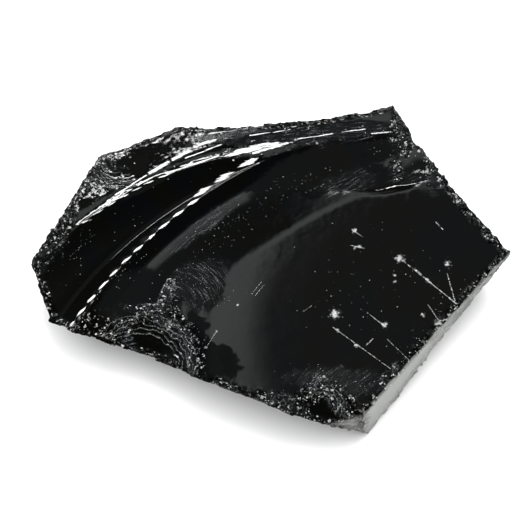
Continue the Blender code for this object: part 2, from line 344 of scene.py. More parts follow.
# Crushed glass: the share of its grains that are white, the grains' scales and the share of each,
# and the scales of its facets with how far each throws the glass aside.
GRAIN_SHARE = 0.22
GRAINS = [(3.2, 1.0), (1.7, 0.4)]
CHIPS = [(0.75, 0.9), (2.1, 1.1)]

# Lights: name, azimuth, elevation, distance, size, radiance and whether it shows in the gloss
# alone. They aim at LIT_POINT, and the camera at SEEN_POINT.
LIGHTS = [
    ("key", 201.0, 37.0, 1.2, (0.46, 0.16), 32.0, True),
    ("floor_light", 150.0, 74.0, 1.5, (1.2, 1.2), 2.8, False),
    ("floor_fill", 0.0, 88.0, 1.0, (2.4, 2.4), 2.9, False),
]
LIT_POINT = (0.0, 0.0, 0.01)
SEEN_POINT = (-0.00101, 0.00062, 0.012)
CAMERA_ELEVATION = 60.0
CAMERA_DISTANCE = 0.818
CAMERA_LENS = 250.0
FLOOR_CORNERS = [(-3, -3, 0), (3, -3, 0), (3, 3, 0), (-3, 3, 0)]
PAPER = (0.9, 0.9, 0.9, 1.0)

# The studio: which way its reflector lies and how far that way it starts and ends, how bright the
# room, the low glow, the reflector and the horizon are, and the room's tint.
REFLECTOR_WAY = (-0.9, 0.44, 0.0)
BAND_STARTS = (0.13, 0.26)
BAND_ENDS = (0.33, 0.45)
ROOM_LIGHT = 0.04
GLOW_LIGHT = 0.12
BAND_LIGHT = 0.95
HORIZON_LIGHT = 0.7
ROOM_TINT = (1.0, 1.07, 1.06)

# The surface's grid: the corners of the inner sheet that the rays start from, and the counts.
SHEET_DEPTH = 4.2
RIM_ANGLE = 20.0
RIM_CROWDING = 4.0
SHEET_EDGES = [
    [(-44, -12), (-30, -17), (-10, -26), (6, -32), (19, -33)],
    [(19, -33), (30, -20), (40, -9), (47, 0)],
    [(-5, 27), (10, 29), (25, 32), (35, 17), (47, 0)],
    [(-44, -12), (-46, 0), (-34, 21), (-22, 28), (-5, 27)],
]
ACROSS = 251
ALONG = 211
FAN_STEPS = 30
CROWD_LEFT = 0.12
# How the rays reach the surface: the share of the gap that each step covers, the gap that is
# small enough, and the most steps.
STRIDE = 0.62
NEAR_ENOUGH = 0.0015
MOST_STEPS = 80


# ---- the broken surface


def curve_table(points, count=600):
    """A smooth curve through (radius, height) points: a cubic between each two, its slope at each
    point the mean of its neighbours' slopes, weighted by their spans."""
    r, h = np.array(points, float).T
    span = np.diff(r)
    slope = np.diff(h) / span
    inner = (slope[:-1] * span[1:] + slope[1:] * span[:-1]) / (span[1:] + span[:-1])
    tangent = np.concatenate([slope[:1], inner, slope[-1:]])
    x = np.linspace(r[0], r[-1], count)
    k = np.clip(np.searchsorted(r, x, side="right") - 1, 0, len(span) - 1)
    u = (x - r[k]) / span[k]
    y = ((2 * u**3 - 3 * u**2 + 1) * h[k] + (u**3 - 2 * u**2 + u) * span[k] * tangent[k]
         + (3 * u**2 - 2 * u**3) * h[k + 1] + (u**3 - u**2) * span[k] * tangent[k + 1])
    return x, y


def turned(foot, axis, points):
    """Height above a profile turned round an axis: w - h(r), where w is the distance along the
    axis and r the distance from it. Above the profile it is positive, and the stone is gone."""
    x, y = curve_table(points)

    def above(p):
        q = p - foot
        w = q @ axis
        r = np.sqrt(np.maximum((q * q).sum(-1) - w * w, 0.0))
        return w - np.interp(r, x, y)

    return above


def between(one, other):
    """Above both of two turned profiles: the smaller of the two heights."""
    first, second = turned(*one), turned(*other)
    return lambda p: np.minimum(first(p), second(p))


def curve_radius(half, depth):
    """The radius of the circle whose arc is `depth` deep and reaches `half` from its middle."""
    return (half**2 + depth**2) / (2.0 * depth)


def bowl(foot, axis, radius):
    """Inside a ball that touches the foot and stands on it along the axis: radius minus the
    distance from the ball's middle."""
    middle = foot + axis * radius

    def above(p):
        q = p - middle
        return radius - np.sqrt((q * q).sum(-1))

    return above


def flat(foot, axis):
    """Height above a plane: the distance from its foot, measured along its axis."""
    return lambda p: (p - foot) @ axis


def side(start, end, lean, hollow):
    """A face below two points of the rim, leaning in under it: a great ball's, `hollow` deep."""
    along = unit(end - start)
    middle = (start + end) / 2.0
    out = unit(np.cross(along, [0.0, 0.0, 1.0]))
    if out[:2] @ middle[:2] < 0:
        out = -out
    tilt = math.radians(lean)
    up = out * math.cos(tilt) - np.array([0.0, 0.0, math.sin(tilt)])
    up = unit(up - (up @ along) * along)
    radius = curve_radius(np.linalg.norm(end - start) / 2.0, hollow)
    return bowl(middle - up * hollow, up, radius)


def facet(a, b, c, hollow):
    """A face through three corners: a plane, or a great ball that hollows it."""
    up = unit(np.cross(b - a, c - a))
    middle = (a + b + c) / 3.0
    if up @ (middle - HEART) < 0:
        up = -up
    if not hollow:
        return flat(middle, up)
    half = np.mean([np.linalg.norm(v - middle) for v in (a, b, c)])
    return bowl(middle - up * hollow, up, curve_radius(half, hollow))


def scoop(middle, half_length, half_width, depth, heading):
    """Inside a ball squashed across its heading, sunk `depth` below the crest plane."""
    radius = curve_radius(half_length, depth)
    centre = middle + CREST_UP * (radius - depth)
    angle = math.radians(heading)
    along = np.array([math.cos(angle), math.sin(angle), 0.0])
    along = unit(along - (along @ CREST_UP) * CREST_UP)
    across = np.cross(CREST_UP, along)
    squash = half_length / half_width

    def above(p):
        q = p - centre
        far = np.sqrt((q @ CREST_UP) ** 2 + (q @ along) ** 2 + (q @ across * squash) ** 2)
        return (radius - far) / max(squash, 1.0)

    return above


def all_scars():
    """Every scar's name and its height function, the base first."""
    scars = [("base", flat(at(0, 0, 0), at(0, 0, -1)))]
    scars += [(n, side(a, b, lean, hollow)) for n, a, b, lean, hollow in SIDES]
    scars += [(n, turned(foot, axis, points)) for n, foot, axis, points in TURNED_SCARS]
    scars.append(("left_trough", between(MIDDLE_FLANK, LEFT_CLIMB)))
    scars += [(n, facet(a, b, c, hollow)) for n, a, b, c, hollow in FACETS]
    scars += [(s[0], scoop(*s[1:])) for s in SCOOPS]
    return scars


def top_two(scars, p):
    """The largest height of any scar at each point, the next largest, and the numbers of both."""
    heights = np.stack([above(p) for _, above in scars])
    order = np.argpartition(-heights, 1, axis=0)[:2]
    pair = np.take_along_axis(heights, order, axis=0)
    swap = pair[0] < pair[1]
    first = np.where(swap, order[1], order[0])
    second = np.where(swap, order[0], order[1])
    return pair.max(0), pair.min(0), first, second


def rounded(p, first, second):
    """The larger of two heights, raised where they nearly meet so that the arris is rounded:
    a quarter of the arris width at the arris, falling off as a square to nothing."""
    melted = smooth_step(-ellipse(p, *MELTED), -1.3, -0.3)
    width = ARRIS_WIDTH + (MELTED_WIDTH - ARRIS_WIDTH) * melted
    near = np.clip(1.0 - (first - second) / width, 0.0, 1.0)
    return first + near**2 * width / 4.0


def reach_surface(scars, start, way):
    """Step each ray outwards by what is left of the way to the nearest scar, until it is there."""
    t = np.zeros(len(start))
    live = np.arange(len(start))
    for _ in range(MOST_STEPS):
        p = start[live] + way[live] * t[live, None]
        first, second, _, _ = top_two(scars, p)
        gap = rounded(p, first, second)
        t[live] -= gap * STRIDE
        live = live[gap < -NEAR_ENOUGH]
        if not len(live):
            break
    return start + way * t[:, None]


# ---- the grid of rays


def edge_curve(points, shares):
    """Points at the given shares of the length of a broken line whose corners are eased."""
    p = np.array(points, float)
    for _ in range(2):
        cut = np.empty((2 * len(p) - 2, 2))
        cut[0::2] = p[:-1] * 0.75 + p[1:] * 0.25
        cut[1::2] = p[:-1] * 0.25 + p[1:] * 0.75
        p = np.vstack([p[:1], cut, p[-1:]])
    length = np.concatenate([[0.0], np.cumsum(np.linalg.norm(np.diff(p, axis=0), axis=1))])
    return np.stack([np.interp(shares * length[-1], length, p[:, k]) for k in range(2)], -1)


def sheet_grid(across, along):
    """A Coons patch: the sum of the two lofts between opposite edges, less the bilinear patch
    through the four corners. Rows run along the front edge, columns towards the back."""
    evenly = np.linspace(0, 1, across)
    crowded = evenly - CROWD_LEFT * np.sin(np.pi * evenly)
    even_along = np.linspace(0, 1, along)
    front, right, back, left = (edge_curve(e, shares) for e, shares in
                                zip(SHEET_EDGES, (crowded, even_along, crowded, even_along)))
    u = crowded[:, None, None]
    v = even_along[None, :, None]
    loft_v = (1 - v) * front[:, None] + v * back[:, None]
    loft_u = (1 - u) * left[None] + u * right[None]
    corners = ((1 - u) * (1 - v) * front[0] + u * (1 - v) * front[-1]
               + (1 - u) * v * back[0] + u * v * back[-1])
    return loft_v + loft_u - corners


def border(grid):
    """The grid's outer points in order, once round."""
    return np.concatenate([grid[:-1, 0], grid[-1, :-1], grid[:0:-1, -1], grid[0, :0:-1]])


def outward(loop):
    """Smoothed directions out of a closed loop, at right angles to it."""
    way = np.roll(loop, -6, 0) - np.roll(loop, 6, 0)
    way = np.stack([way[:, 1], -way[:, 0]], -1)
    kernel = np.exp(-np.linspace(-2, 2, 61) ** 2)
    kernel /= kernel.sum()
    wrapped = np.concatenate([way[-30:], way, way[:30]])
    way = np.stack([np.convolve(wrapped[:, k], kernel, "valid") for k in range(2)], -1)
    return way / np.linalg.norm(way, axis=1, keepdims=True)


def on_sheet(points):
    """Points in x and y, given the height of the inner sheet, which lies under the crest plane."""
    height = CREST_HEIGHT + CREST_SLOPE * points[:, 1:] - SHEET_DEPTH
    return np.append(points, height, 1)


def fan_angles(steps):
    """Angles from straight up to straight down, crowded like a bell curve round the rim."""
    angle = np.linspace(90.0, -90.0, 721)
    crowd = np.cumsum(1.0 + RIM_CROWDING * np.exp(-((angle - RIM_ANGLE) / 22.0) ** 2))
    share = (crowd - crowd[0]) / (crowd[-1] - crowd[0])
    return np.radians(np.interp(np.linspace(0.0, 1.0, steps + 2)[1:-1], share, angle))


def fan_rays(loop, steps):
    """Directions that turn from straight up, through straight out, to straight down."""
    out = outward(loop)
    turn = fan_angles(steps)
    sine, cosine = np.sin(turn)[:, None], np.cos(turn)[:, None]
    ways = np.stack([out[None, :, 0] * cosine, out[None, :, 1] * cosine,
                     np.broadcast_to(sine, (steps, len(loop)))], -1)
    starts = np.broadcast_to(on_sheet(loop), ways.shape)
    return starts.reshape(-1, 3), ways.reshape(-1, 3)


def sheet_rays(grid, up):
    """Rays straight up or down from every point of the sheet."""
    starts = on_sheet(grid.reshape(-1, 2))
    return starts, np.tile([0.0, 0.0, up], (len(starts), 1))


def grid_faces(numbers, flip):
    """Four-cornered faces between the neighbours of a grid of point numbers."""
    faces = np.stack([numbers[:-1, :-1], numbers[1:, :-1], numbers[1:, 1:], numbers[:-1, 1:]], -1)
    faces = faces.reshape(-1, 4)
    return faces[:, ::-1] if flip else faces


def stitch(many, few):
    """Three-cornered faces between a closed loop and one with half as many points."""
    count = len(few)
    i = np.arange(count)
    here, after = few, np.roll(few, -1)
    first, middle, last = many[2 * i], many[2 * i + 1], many[(2 * i + 2) % len(many)]
    return np.concatenate([np.stack([first, here, middle], -1), np.stack([here, after, middle], -1),
                           np.stack([middle, after, last], -1)])


def ray_grid():
    """Every ray's start and direction, and the faces between their ends: the sheet above, the
    fan round the rim, and the coarser sheet below."""
    top = sheet_grid(ACROSS, ALONG)
    low = top[::2, ::2]
    loop = border(top)
    parts = [sheet_rays(top, 1.0), fan_rays(loop, FAN_STEPS), sheet_rays(low, -1.0)]
    starts, ways = (np.concatenate(part) for part in zip(*parts))
    top_numbers = np.arange(top[..., 0].size).reshape(ACROSS, ALONG)
    fan_numbers = top_numbers.size + np.arange(FAN_STEPS * len(loop)).reshape(FAN_STEPS, -1)
    low_numbers = top_numbers.size + fan_numbers.size + np.arange(low[..., 0].size).reshape(low.shape[:2])
    rings = np.vstack([border(top_numbers)[None], fan_numbers])
    rings = np.hstack([rings, rings[:, :1]])
    quads = np.concatenate([grid_faces(top_numbers, False), grid_faces(rings, False),
                            grid_faces(low_numbers, True)])
    triangles = stitch(rings[-1, :-1], border(low_numbers))
    return starts, ways, quads, triangles


# ---- crumbled edges


def scatter(cells, salt):
    """A fixed random number from 0 to 1 for each whole-number cell: a sine hash, a sum of the
    cell's coordinates times large constants, whose sine is scaled up and cut to its fraction."""
    value = np.sin(cells @ np.array([127.1, 311.7, 74.7]) + salt * 53.3) * 43758.5453
    return value - np.floor(value)


def cell_noise(p, size, salt):
    """For each point, the distance to the nearest of a crowd of scattered seeds, one in each
    cube of the given size, and the random number that seed carries."""
    q = p / size
    base = np.floor(q)
    nearest = np.full(len(p), 9.0)
    value = np.zeros(len(p))
    for step in np.ndindex(3, 3, 3):
        cell = base + np.array(step) - 1.0
        seed = cell + np.stack([scatter(cell, salt + k) for k in (1, 2, 3)], -1)
        far = np.sqrt(((q - seed) ** 2).sum(-1))
        closer = far < nearest
        nearest = np.where(closer, far, nearest)
        value = np.where(closer, scatter(cell, salt + 4), value)
    return nearest, value


def swell(p, size, salt):
    """Smooth noise from -1 to 1: random values at the corners of cubes, blended between them."""
    q = p / size
    base = np.floor(q)
    f = q - base
    f = f * f * (3.0 - 2.0 * f)
    total = np.zeros(len(p))
    for corner in np.ndindex(2, 2, 2):
        weight = np.prod(np.where(corner, f, 1.0 - f), axis=1)
        total += weight * scatter(base + corner, salt)
    return total * 2.0 - 1.0


def crumble(p, scars):
    """How deep each point near an arris is crumbled away, how crushed it looks and which scar it
    lies on. Big bites and small grains, each deepest at its cell's seed, are added up, less a
    little, so that some crumbs stand proud."""
    first, second, one, two = top_two(scars, p)
    worth = np.array([CRUMBLE.get(name, OTHER_CRUMBLE) for name, _ in scars])
    strength = np.maximum(worth[one], worth[two])
    near = np.clip(1.0 - (first - second) / CRUMBLE_REACH, 0.0, 1.0)
    far_big, big = cell_noise(p, BIG_CRUMB, 11)
    far_small, small = cell_noise(p, SMALL_CRUMB, 37)
    bite = np.clip(big * 1.3 - 0.35, 0, 1) * (1.0 - 0.5 * far_big)
    grain = small * (1.0 - 0.6 * far_small)
    depth = strength * near**1.3 * (0.75 * bite + 0.35 * grain - 0.3)
    names = np.array([name for name, _ in scars])
    return depth, near * np.minimum(strength, 1.0), names[one]


def smooth_step(value, low, high):
    """0 below `low`, 1 above `high`, and a smooth cubic between."""
    t = np.clip((value - low) / (high - low), 0.0, 1.0)
    return t * t * (3.0 - 2.0 * t)


def ellipse(p, middle, half_length, half_width, heading):
    """How far each point lies from an ellipse's middle: 0 there, and 1 on its outline."""
    angle = math.radians(heading)
    x, y = p[:, 0] - middle[0], p[:, 1] - middle[1]
    along = x * math.cos(angle) + y * math.sin(angle)
    across = y * math.cos(angle) - x * math.sin(angle)
    return np.hypot(along / half_length, across / half_width)


def patch(p, *shape, raggedness=1.0):
    """1 in the middle of an ellipse, 0 well outside, with a ragged edge between."""
    ragged = swell(p, 2.1, 5) * 0.25 + swell(p, 0.8, 9) * 0.2
    return smooth_step(1.35 - ellipse(p, *shape) + ragged * raggedness, 0.0, 0.7)


def ridge_waves(p):
    """The middle ridge's gentle rise and fall along its length, which breaks its gleam."""
    x, y = (p[:, :2] - FAR_RIGHT_BLOW).T
    r = np.hypot(x, y)
    along = RIDGE_RADIUS * np.arctan2(y, -x)
    near = smooth_step(-np.abs(r - RIDGE_RADIUS), -2.2, -0.3)
    rise = RIDGE_RISE * np.clip((-p[:, 0] - 12.0) / 30.0, 0.12, 1.0)
    return near * rise * np.sin(2.0 * np.pi * along / RIDGE_WAVE + 0.8 * swell(p, 5.0, 21))


def relief(p, ways):
    """The fine forms added to the upper surface, as a height along each ray."""
    return ridge_waves(p) * smooth_step(ways[:, 2], 0.1, 0.6)


def shaded(p):
    """1 where the table of shades has the glass turned to the dark, and along the crease at the
    bottom of the left trough, where its two sides are as high as each other."""
    shade = np.zeros(len(p))
    for _, *shape, raggedness in SHADES:
        shade = np.maximum(shade, patch(p, *shape, raggedness=raggedness))
    apart = np.abs(turned(*MIDDLE_FLANK)(p) - turned(*LEFT_CLIMB)(p))
    return np.maximum(shade, smooth_step(-apart, -0.5, -0.25) * (p[:, 0] < -8.0))


def rough_patches(p):
    """How crushed and how frosted the table of patches makes each point."""
    crushed, frosted = np.zeros(len(p)), np.zeros(len(p))
    for _, middle, half_length, half_width, heading, crush, frost in PATCHES:
        inside = patch(p, middle, half_length, half_width, heading)
        crushed = np.maximum(crushed, inside * crush)
        frosted = np.maximum(frosted, inside * frost)
    return crushed, frosted


def speck_crowd(p):
    """How thick the table of specks makes them at each point."""
    crowd = np.zeros(len(p))
    for middle, half_length, half_width, heading, share in SPECKS:
        far = ellipse(p, middle, half_length, half_width, heading)
        crowd = np.maximum(crowd, share * smooth_step(-far, -1.2, -0.3))
    return crowd


def flow_lines(p, scar_names):
    """For each point, the distance from where its scar was struck and the way round it."""
    middle = np.full((len(p), 2), STRUCK_ELSEWHERE, float)
    for name, place in STRUCK_AT.items():
        middle[scar_names == name] = place
    middle[ellipse(p, *FAN) < 1.2] = FAN_STRUCK
    x, y = (p[:, :2] - middle).T
    r = np.hypot(x, y)
    return np.stack([r, np.arctan2(y, x) * np.maximum(r, 1.0), p[:, 2]], -1)


# ---- the piece


def to_frame(p):
    """From millimetres on the working grid to metres in the part's frame."""
    return (p - MIDDLE) * MM


def make_mesh(name, points, quads, triangles):
    mesh = bpy.data.meshes.new(name)
    corners = np.concatenate([quads.ravel(), triangles.ravel()])
    sizes = np.concatenate([np.full(len(quads), 4), np.full(len(triangles), 3)])
    mesh.vertices.add(len(points))
    mesh.vertices.foreach_set("co", points.ravel())
    mesh.loops.add(len(corners))
    mesh.loops.foreach_set("vertex_index", corners)
    mesh.polygons.add(len(sizes))
    mesh.polygons.foreach_set("loop_start", np.concatenate([[0], np.cumsum(sizes)[:-1]]))
    mesh.update(calc_edges=True)
    mesh.polygons.foreach_set("use_smooth", np.ones(len(sizes), bool))
    return mesh


def add_object(name, data):
    made = bpy.data.objects.new(name, data)
    bpy.context.scene.collection.objects.link(made)
    return made


def store(mesh, name, values):
    """Keep a number or a vector for each point on the mesh, for the material to read."""
    if values.ndim == 1:
        mesh.attributes.new(name, "FLOAT", "POINT").data.foreach_set("value", values)
    else:
        mesh.attributes.new(name, "FLOAT_VECTOR", "POINT").data.foreach_set("vector", values.ravel())


def stone_surface():
    """The whole stone: every ray's end on the scars, moved along the ray by the fine forms less
    the crumbs, and what the glass has to know at each point."""
    scars = all_scars()
    starts, ways, quads, triangles = ray_grid()
    points = reach_surface(scars, starts, ways)
    depth, crushed, scar_names = crumble(points, scars)
    patch_crushed, frosted = rough_patches(points)
    flow = flow_lines(points, scar_names)
    specks = speck_crowd(points)
    points = points + ways * (relief(points, ways) - depth)[:, None]
    mesh = make_mesh("obsidian_surface", to_frame(points), quads, triangles)
    above = ways[:, 2] > -0.5
    upper = smooth_step(ways[:, 2], 0.1, 0.5)
    # The steep front sides get their pale paint: a painted reflection of the bright floor.
    pale = np.array([PAINTED_REFLECTION_SIDES.get(name, 0.0) for name in scar_names])
    for name, values in (("crushed", np.maximum(crushed, patch_crushed * above)),
                         ("frosted", frosted * above), ("pale", pale),
                         ("specks", specks * above), ("shaded", shaded(points) * upper),
                         ("upper", upper), ("flow", flow)):
        store(mesh, name, values)
    return add_object("obsidian_surface", mesh)


# ---- nodes


def node(tree, kind, *values, **settings):
    """A new node with its settings, and with the values fed to its inputs in order."""
    made = tree.nodes.new(kind)
    for name, value in settings.items():
        setattr(made, name, value)
    for socket, value in zip(made.inputs, values):
        feed(socket, value)
    return made


def feed(socket, value):
    """Link a socket to another node's output, or set its number."""
    if isinstance(value, bpy.types.NodeSocket):
        socket.id_data.links.new(value, socket)
    else:
        socket.default_value = value


def feed_all(made, values):
    """Feed values to a node's inputs by name."""
    for name, value in values.items():
        feed(made.inputs[name], value)


def node_by(kind, *values, **settings):
    """A new node in the tree that the values' sockets belong to."""
    tree = next(value.id_data for value in values if isinstance(value, bpy.types.NodeSocket))
    return node(tree, kind, *values, **settings)


def calc(operation, *values, clamp=False):
    return node_by("ShaderNodeMath", *values, operation=operation, use_clamp=clamp).outputs[0]


def times(one, other):
    return calc("MULTIPLY", one, other)


def times_add(one, other, more):
    return calc("MULTIPLY_ADD", one, other, more)


def larger(one, other):
    return calc("MAXIMUM", one, other)


def vector_calc(operation, *values, output="Vector"):
    return node_by("ShaderNodeVectorMath", *values, operation=operation).outputs[output]


def scaled(vector, amount):
    made = node(amount.id_data, "ShaderNodeVectorMath", vector, operation="SCALE")
    feed(made.inputs["Scale"], amount)
    return made.outputs[0]


def split(kind, value):
    """The parts of a vector ("XYZ") or a colour ("Color")."""
    return node_by("ShaderNodeSeparate" + kind, value).outputs


def ease(value, low, high):
    """0 below `low`, 1 above `high`, and a smooth step between."""
    made = node_by("ShaderNodeMapRange", value, low, high, interpolation_type="SMOOTHSTEP")
    return made.outputs["Result"]


def fade(value, low, high):
    """1 below `low`, 0 above `high`, and a smooth step between."""
    return calc("SUBTRACT", 1.0, ease(value, low, high))


def blend_colour(share, one, other):
    made = node_by("ShaderNodeMix", share, data_type="RGBA")
    feed(made.inputs[6], one)
    feed(made.inputs[7], other)
    return made.outputs[2]


def blend_way(share, one, other):
    made = node_by("ShaderNodeMix", share, data_type="VECTOR")
    feed(made.inputs[4], one)
    feed(made.inputs[5], other)
    return made.outputs[1]


def noise(vector, scale, detail=2.0, roughness=0.5):
    made = node_by("ShaderNodeTexNoise", vector)
    feed_all(made, {"Scale": scale, "Detail": detail, "Roughness": roughness})
    return made.outputs["Fac"]


def cells(vector, scale):
    """The outputs of a Voronoi crowd: each point's distance to its cell's seed, and the cell's
    own random colour."""
    made = node_by("ShaderNodeTexVoronoi", vector)
    feed_all(made, {"Scale": scale})
    return made.outputs


def new_material(name):
    """A new material, and its shader."""
    material = bpy.data.materials.new(name)
    material.use_nodes = True
    return material, material.node_tree.nodes["Principled BSDF"]


def attribute(tree, name, output="Fac"):
    return node(tree, "ShaderNodeAttribute", attribute_name=name).outputs[output]


def bump(height, strength, distance, normal):
    made = node(normal.id_data, "ShaderNodeBump")
    feed_all(made, {"Height": height, "Strength": strength, "Distance": distance, "Normal": normal})
    return made.outputs["Normal"]


# ---- glass


def on_plan(x, y):
    """A place seen from above, in millimetres on the part's own grid, with no height."""
    return (x - MIDDLE[0], y - MIDDLE[1], 0.0)


def within(far, width):
    """1 where the distance is under the width, and 0 a little beyond it."""
    return fade(far, width * 0.75, width * 1.25)


def streak(plan, start, end, width, ragged):
    """1 within a width of the line between two places: the distance to the nearest point of the
    line, found by projecting onto it and keeping to its length, plus a ragged amount."""
    a, b = Vector(on_plan(*start)), Vector(on_plan(*end))
    line = b - a
    rel = vector_calc("SUBTRACT", plan, a)
    share = vector_calc("DOT_PRODUCT", rel, line / line.length_squared, output="Value")
    share = calc("MULTIPLY", share, 1.0, clamp=True)
    far = vector_calc("DISTANCE", rel, scaled(line, share), output="Value")
    return within(times_add(ragged, width, far), width)


def bruise(plan, middle, radius, ragged):
    far = vector_calc("DISTANCE", plan, on_plan(*middle), output="Value")
    return within(times_add(ragged, radius, far), radius)


def facet_marks(place, plan):
    """The scratches and bruises on the big facet, as one mask."""
    shake = times_add(noise(place, 3.2, 3.0, 0.8), 5.0, -2.2)
    spikes = times_add(noise(place, 1.7, 5.0, 0.9), 9.0, -4.0)
    cracks = noise(place, 3.4, 3.0, 0.8)
    lines, stars = 0.0, 0.0
    for start, end, width in SCRATCHES:
        lines = larger(streak(plan, start, end, width, shake), lines)
    for middle, radius in BRUISES:
        stars = larger(bruise(plan, middle, radius, spikes), stars)
    lines = times(lines, ease(cracks, 0.47, 0.53))
    return larger(lines, times(stars, ease(cracks, 0.36, 0.44)))


def polar(plan, middle):
    """The distance of each point from a middle, and its angle round it."""
    rel = vector_calc("SUBTRACT", plan, on_plan(*middle))
    x, y, _ = split("XYZ", rel)
    return vector_calc("LENGTH", rel, output="Value"), calc("ARCTAN2", y, x)


def gleam_arc(plan, arc, ragged):
    """An arc of slanting dashes. The way round it is the angle times the radius; within each dash
    it runs from -0.5 to 0.5, and the dash is a lens that thins away from its middle."""
    _, middle, radius, width, start, end, dash, broken = arc
    far, angle = polar(plan, middle)
    along = calc("FRACT", times(angle, radius / dash))
    along = calc("SUBTRACT", along, 0.5)
    lens = calc("SUBTRACT", 1.15, times(times(along, along), 8.0))
    room = times(times_add(ragged, broken, lens), width)
    centre = times_add(along, DASH_SLANT, radius)
    off = calc("ABSOLUTE", calc("SUBTRACT", far, centre))
    inside = ease(calc("SUBTRACT", room, off), -0.02, 0.08)
    x = split("XYZ", plan)[0]
    first, last = start - MIDDLE[0], end - MIDDLE[0]
    inside = times(inside, ease(x, first, first + 1.0))
    return times(inside, fade(x, last - 1.0, last))


def gleam_mask(plan, ragged):
    """Where the glass is turned to the strongest light."""
    mask = 0.0
    for arc in GLEAM_ARCS:
        mask = larger(gleam_arc(plan, arc, ragged), mask)
    for start, end, width in GLEAM_STREAKS:
        shake = times(ragged, -1.2)
        mask = larger(streak(plan, start, end, width, shake), mask)
    return mask


def ring_waves(plan, shake):
    """The rings' height in millimetres, sharp on top, and the white on their crests: partly frost, partly
    a painted highlight.
    """
    height, white = 0.0, 0.0
    for _, middle, inner, outer, spacing, rise, heading, spread, whiteness in RINGS:
        radius, angle = polar(plan, middle)
        turn = calc("COSINE", calc("SUBTRACT", angle, math.radians(heading)))
        edge = math.cos(math.radians(spread))
        sector = ease(turn, edge, edge + 0.25)
        inside = times(sector, ease(radius, inner, inner + spacing))
        inside = times(inside, fade(radius, outer - spacing, outer))
        shaken = times_add(shake, spacing, radius)
        wave = calc("SINE", times(shaken, math.pi / spacing))
        wave = calc("SUBTRACT", 1.0, calc("ABSOLUTE", wave))
        height = calc("ADD", height, times(inside, times(wave, rise)))
        crest_line = times(ease(wave, 0.7, 0.92), whiteness)
        white = larger(white, times(inside, crest_line))
    return height, white


def painted_glint_specks(place, crowd):
    """Small white dots painted as glints, the sparkle of tiny bumps catching the light, and partly
    crushed-glass specks: one in some of the cells of a Voronoi crowd, more where it is thick.
    """
    dots = cells(place, 2.0)
    red, green, blue = split("Color", dots["Color"])
    chosen = calc("LESS_THAN", red, times(crowd, 0.8))
    size = times_add(calc("POWER", green, 2.0), 0.14, 0.05)
    inside = calc("LESS_THAN", dots["Distance"], size)
    return times(times(chosen, inside), blue)


def white_grains(place, crushed):
    """Grains of crushed glass: cells of a fine Voronoi crowd, of which a share that grows with
    how crushed the place is, and comes and goes in clusters, is white."""
    clusters = ease(noise(place, 0.75, 3.0, 0.6), 0.42, 0.62)
    share = times(times(crushed, clusters), GRAIN_SHARE)
    total = 0.0
    for scale, strength in GRAINS:
        red, _, blue = split("Color", cells(place, scale)["Color"])
        chosen = calc("LESS_THAN", red, times(share, strength))
        bright = calc("POWER", blue, 1.6)
        total = larger(total, times(chosen, bright))
    return total


def chipped_normal(place, crushed):
    """The surface's direction, thrown aside by a different amount in each cell of two Voronoi
    crowds: the small facets that crushed glass breaks into."""
    normal = node(place.id_data, "ShaderNodeNewGeometry").outputs["Normal"]
    for scale, throw in CHIPS:
        turn = vector_calc("SUBTRACT", cells(place, scale)["Color"], (0.5, 0.5, 0.5))
        thrown = scaled(turn, times(crushed, throw))
        normal = vector_calc("ADD", normal, thrown)
    return vector_calc("NORMALIZE", normal)


def fixed_way(tree, way):
    """A direction fixed to the stone, as the shader wants it."""
    return node(tree, "ShaderNodeVectorTransform", unit(way), vector_type="NORMAL",
                convert_from="OBJECT", convert_to="WORLD").outputs[0]


def turned_to_dark(normal, mask):
    """Where the mask is on, the direction to the dark on whichever side the glass leans to."""
    tree = normal.id_data
    lean = vector_calc("DOT_PRODUCT", normal, fixed_way(tree, LEANING_LEFT), output="Value")
    dark = blend_way(calc("GREATER_THAN", lean, LEAN_BETWEEN),
                     fixed_way(tree, TO_THE_RIGHT_DARK), fixed_way(tree, TO_THE_LEFT_DARK))
    return vector_calc("NORMALIZE", blend_way(mask, normal, dark))


def ring_patterns(place, plan, grain, upper):
    """The rings' height, and the broken white on their crests, partly a painted highlight."""
    shake = times_add(noise(place, 0.4), 2.2, -1.1)
    height, white = ring_waves(plan, shake)
    white = times(white, ease(grain, 0.46, 0.6))
    return height, times(white, upper)


def glass_patterns(place):
    """Everything that the glass's colour, dullness and direction are made from, by name: what
    the mesh carries, the noises, and the scratches, bruises and painted glints drawn on it."""
    tree = place.id_data
    plan = vector_calc("MULTIPLY", place, (1.0, 1.0, 0.0))
    look = {name: attribute(tree, name) for name in ("crushed", "frosted", "pale", "upper", "shaded")}
    flow = vector_calc("MULTIPLY", attribute(tree, "flow", "Vector"), (3.2, 0.24, 0.4))
    streaks = noise(flow, 1.0, 5.0, 0.7)
    grain = noise(place, 2.0, 5.0, 0.9)
    fine = noise(place, 5.0, 3.0, 0.7)
    ragged = times_add(streaks, 6.0, -3.0)
    upper = look["upper"]
    look["powder"] = white_grains(place, ease(look["crushed"], 0.05, 0.8))
    lines = times_add(fine, 0.4, times(streaks, 0.6))
    look["lines"] = times(ease(lines, 0.55, 0.6), look["frosted"])
    # The rings' crests are painted white: partly frost, partly a painted highlight.
    look["ring_height"], look["ring_frost_and_highlight"] = ring_patterns(place, plan, grain, upper)
    marks_and_glints = times(facet_marks(place, plan), upper)
    # The scratches and bruises, with white specks painted as glints laid in.
    look["marks_and_glints"] = larger(marks_and_glints, painted_glint_specks(place, attribute(tree, "specks")))
    look["gleam"] = times(gleam_mask(plan, ragged), upper)
    look.update(streaks=streaks, grain=grain, fine=fine, ragged=ragged)
    return look


def glass_colour(place, look):
    """Near-black glass with each pale layer laid over it, some of them painted reflection, highlight and
    glints.
    """
    tint = ease(noise(place, 0.09, 2.0), 0.4, 0.6)
    colour = blend_colour(tint, WARM_BLACK, COOL_BLACK)
    for pattern, strength, paint in PAINTS:
        colour = blend_colour(times(look[pattern], strength), colour, paint)
    return colour


def glass_dullness(look):
    dull = BARE_DULLNESS
    for pattern, amount in DULLNESS:
        dull = times_add(look[pattern], amount, dull)
    return dull


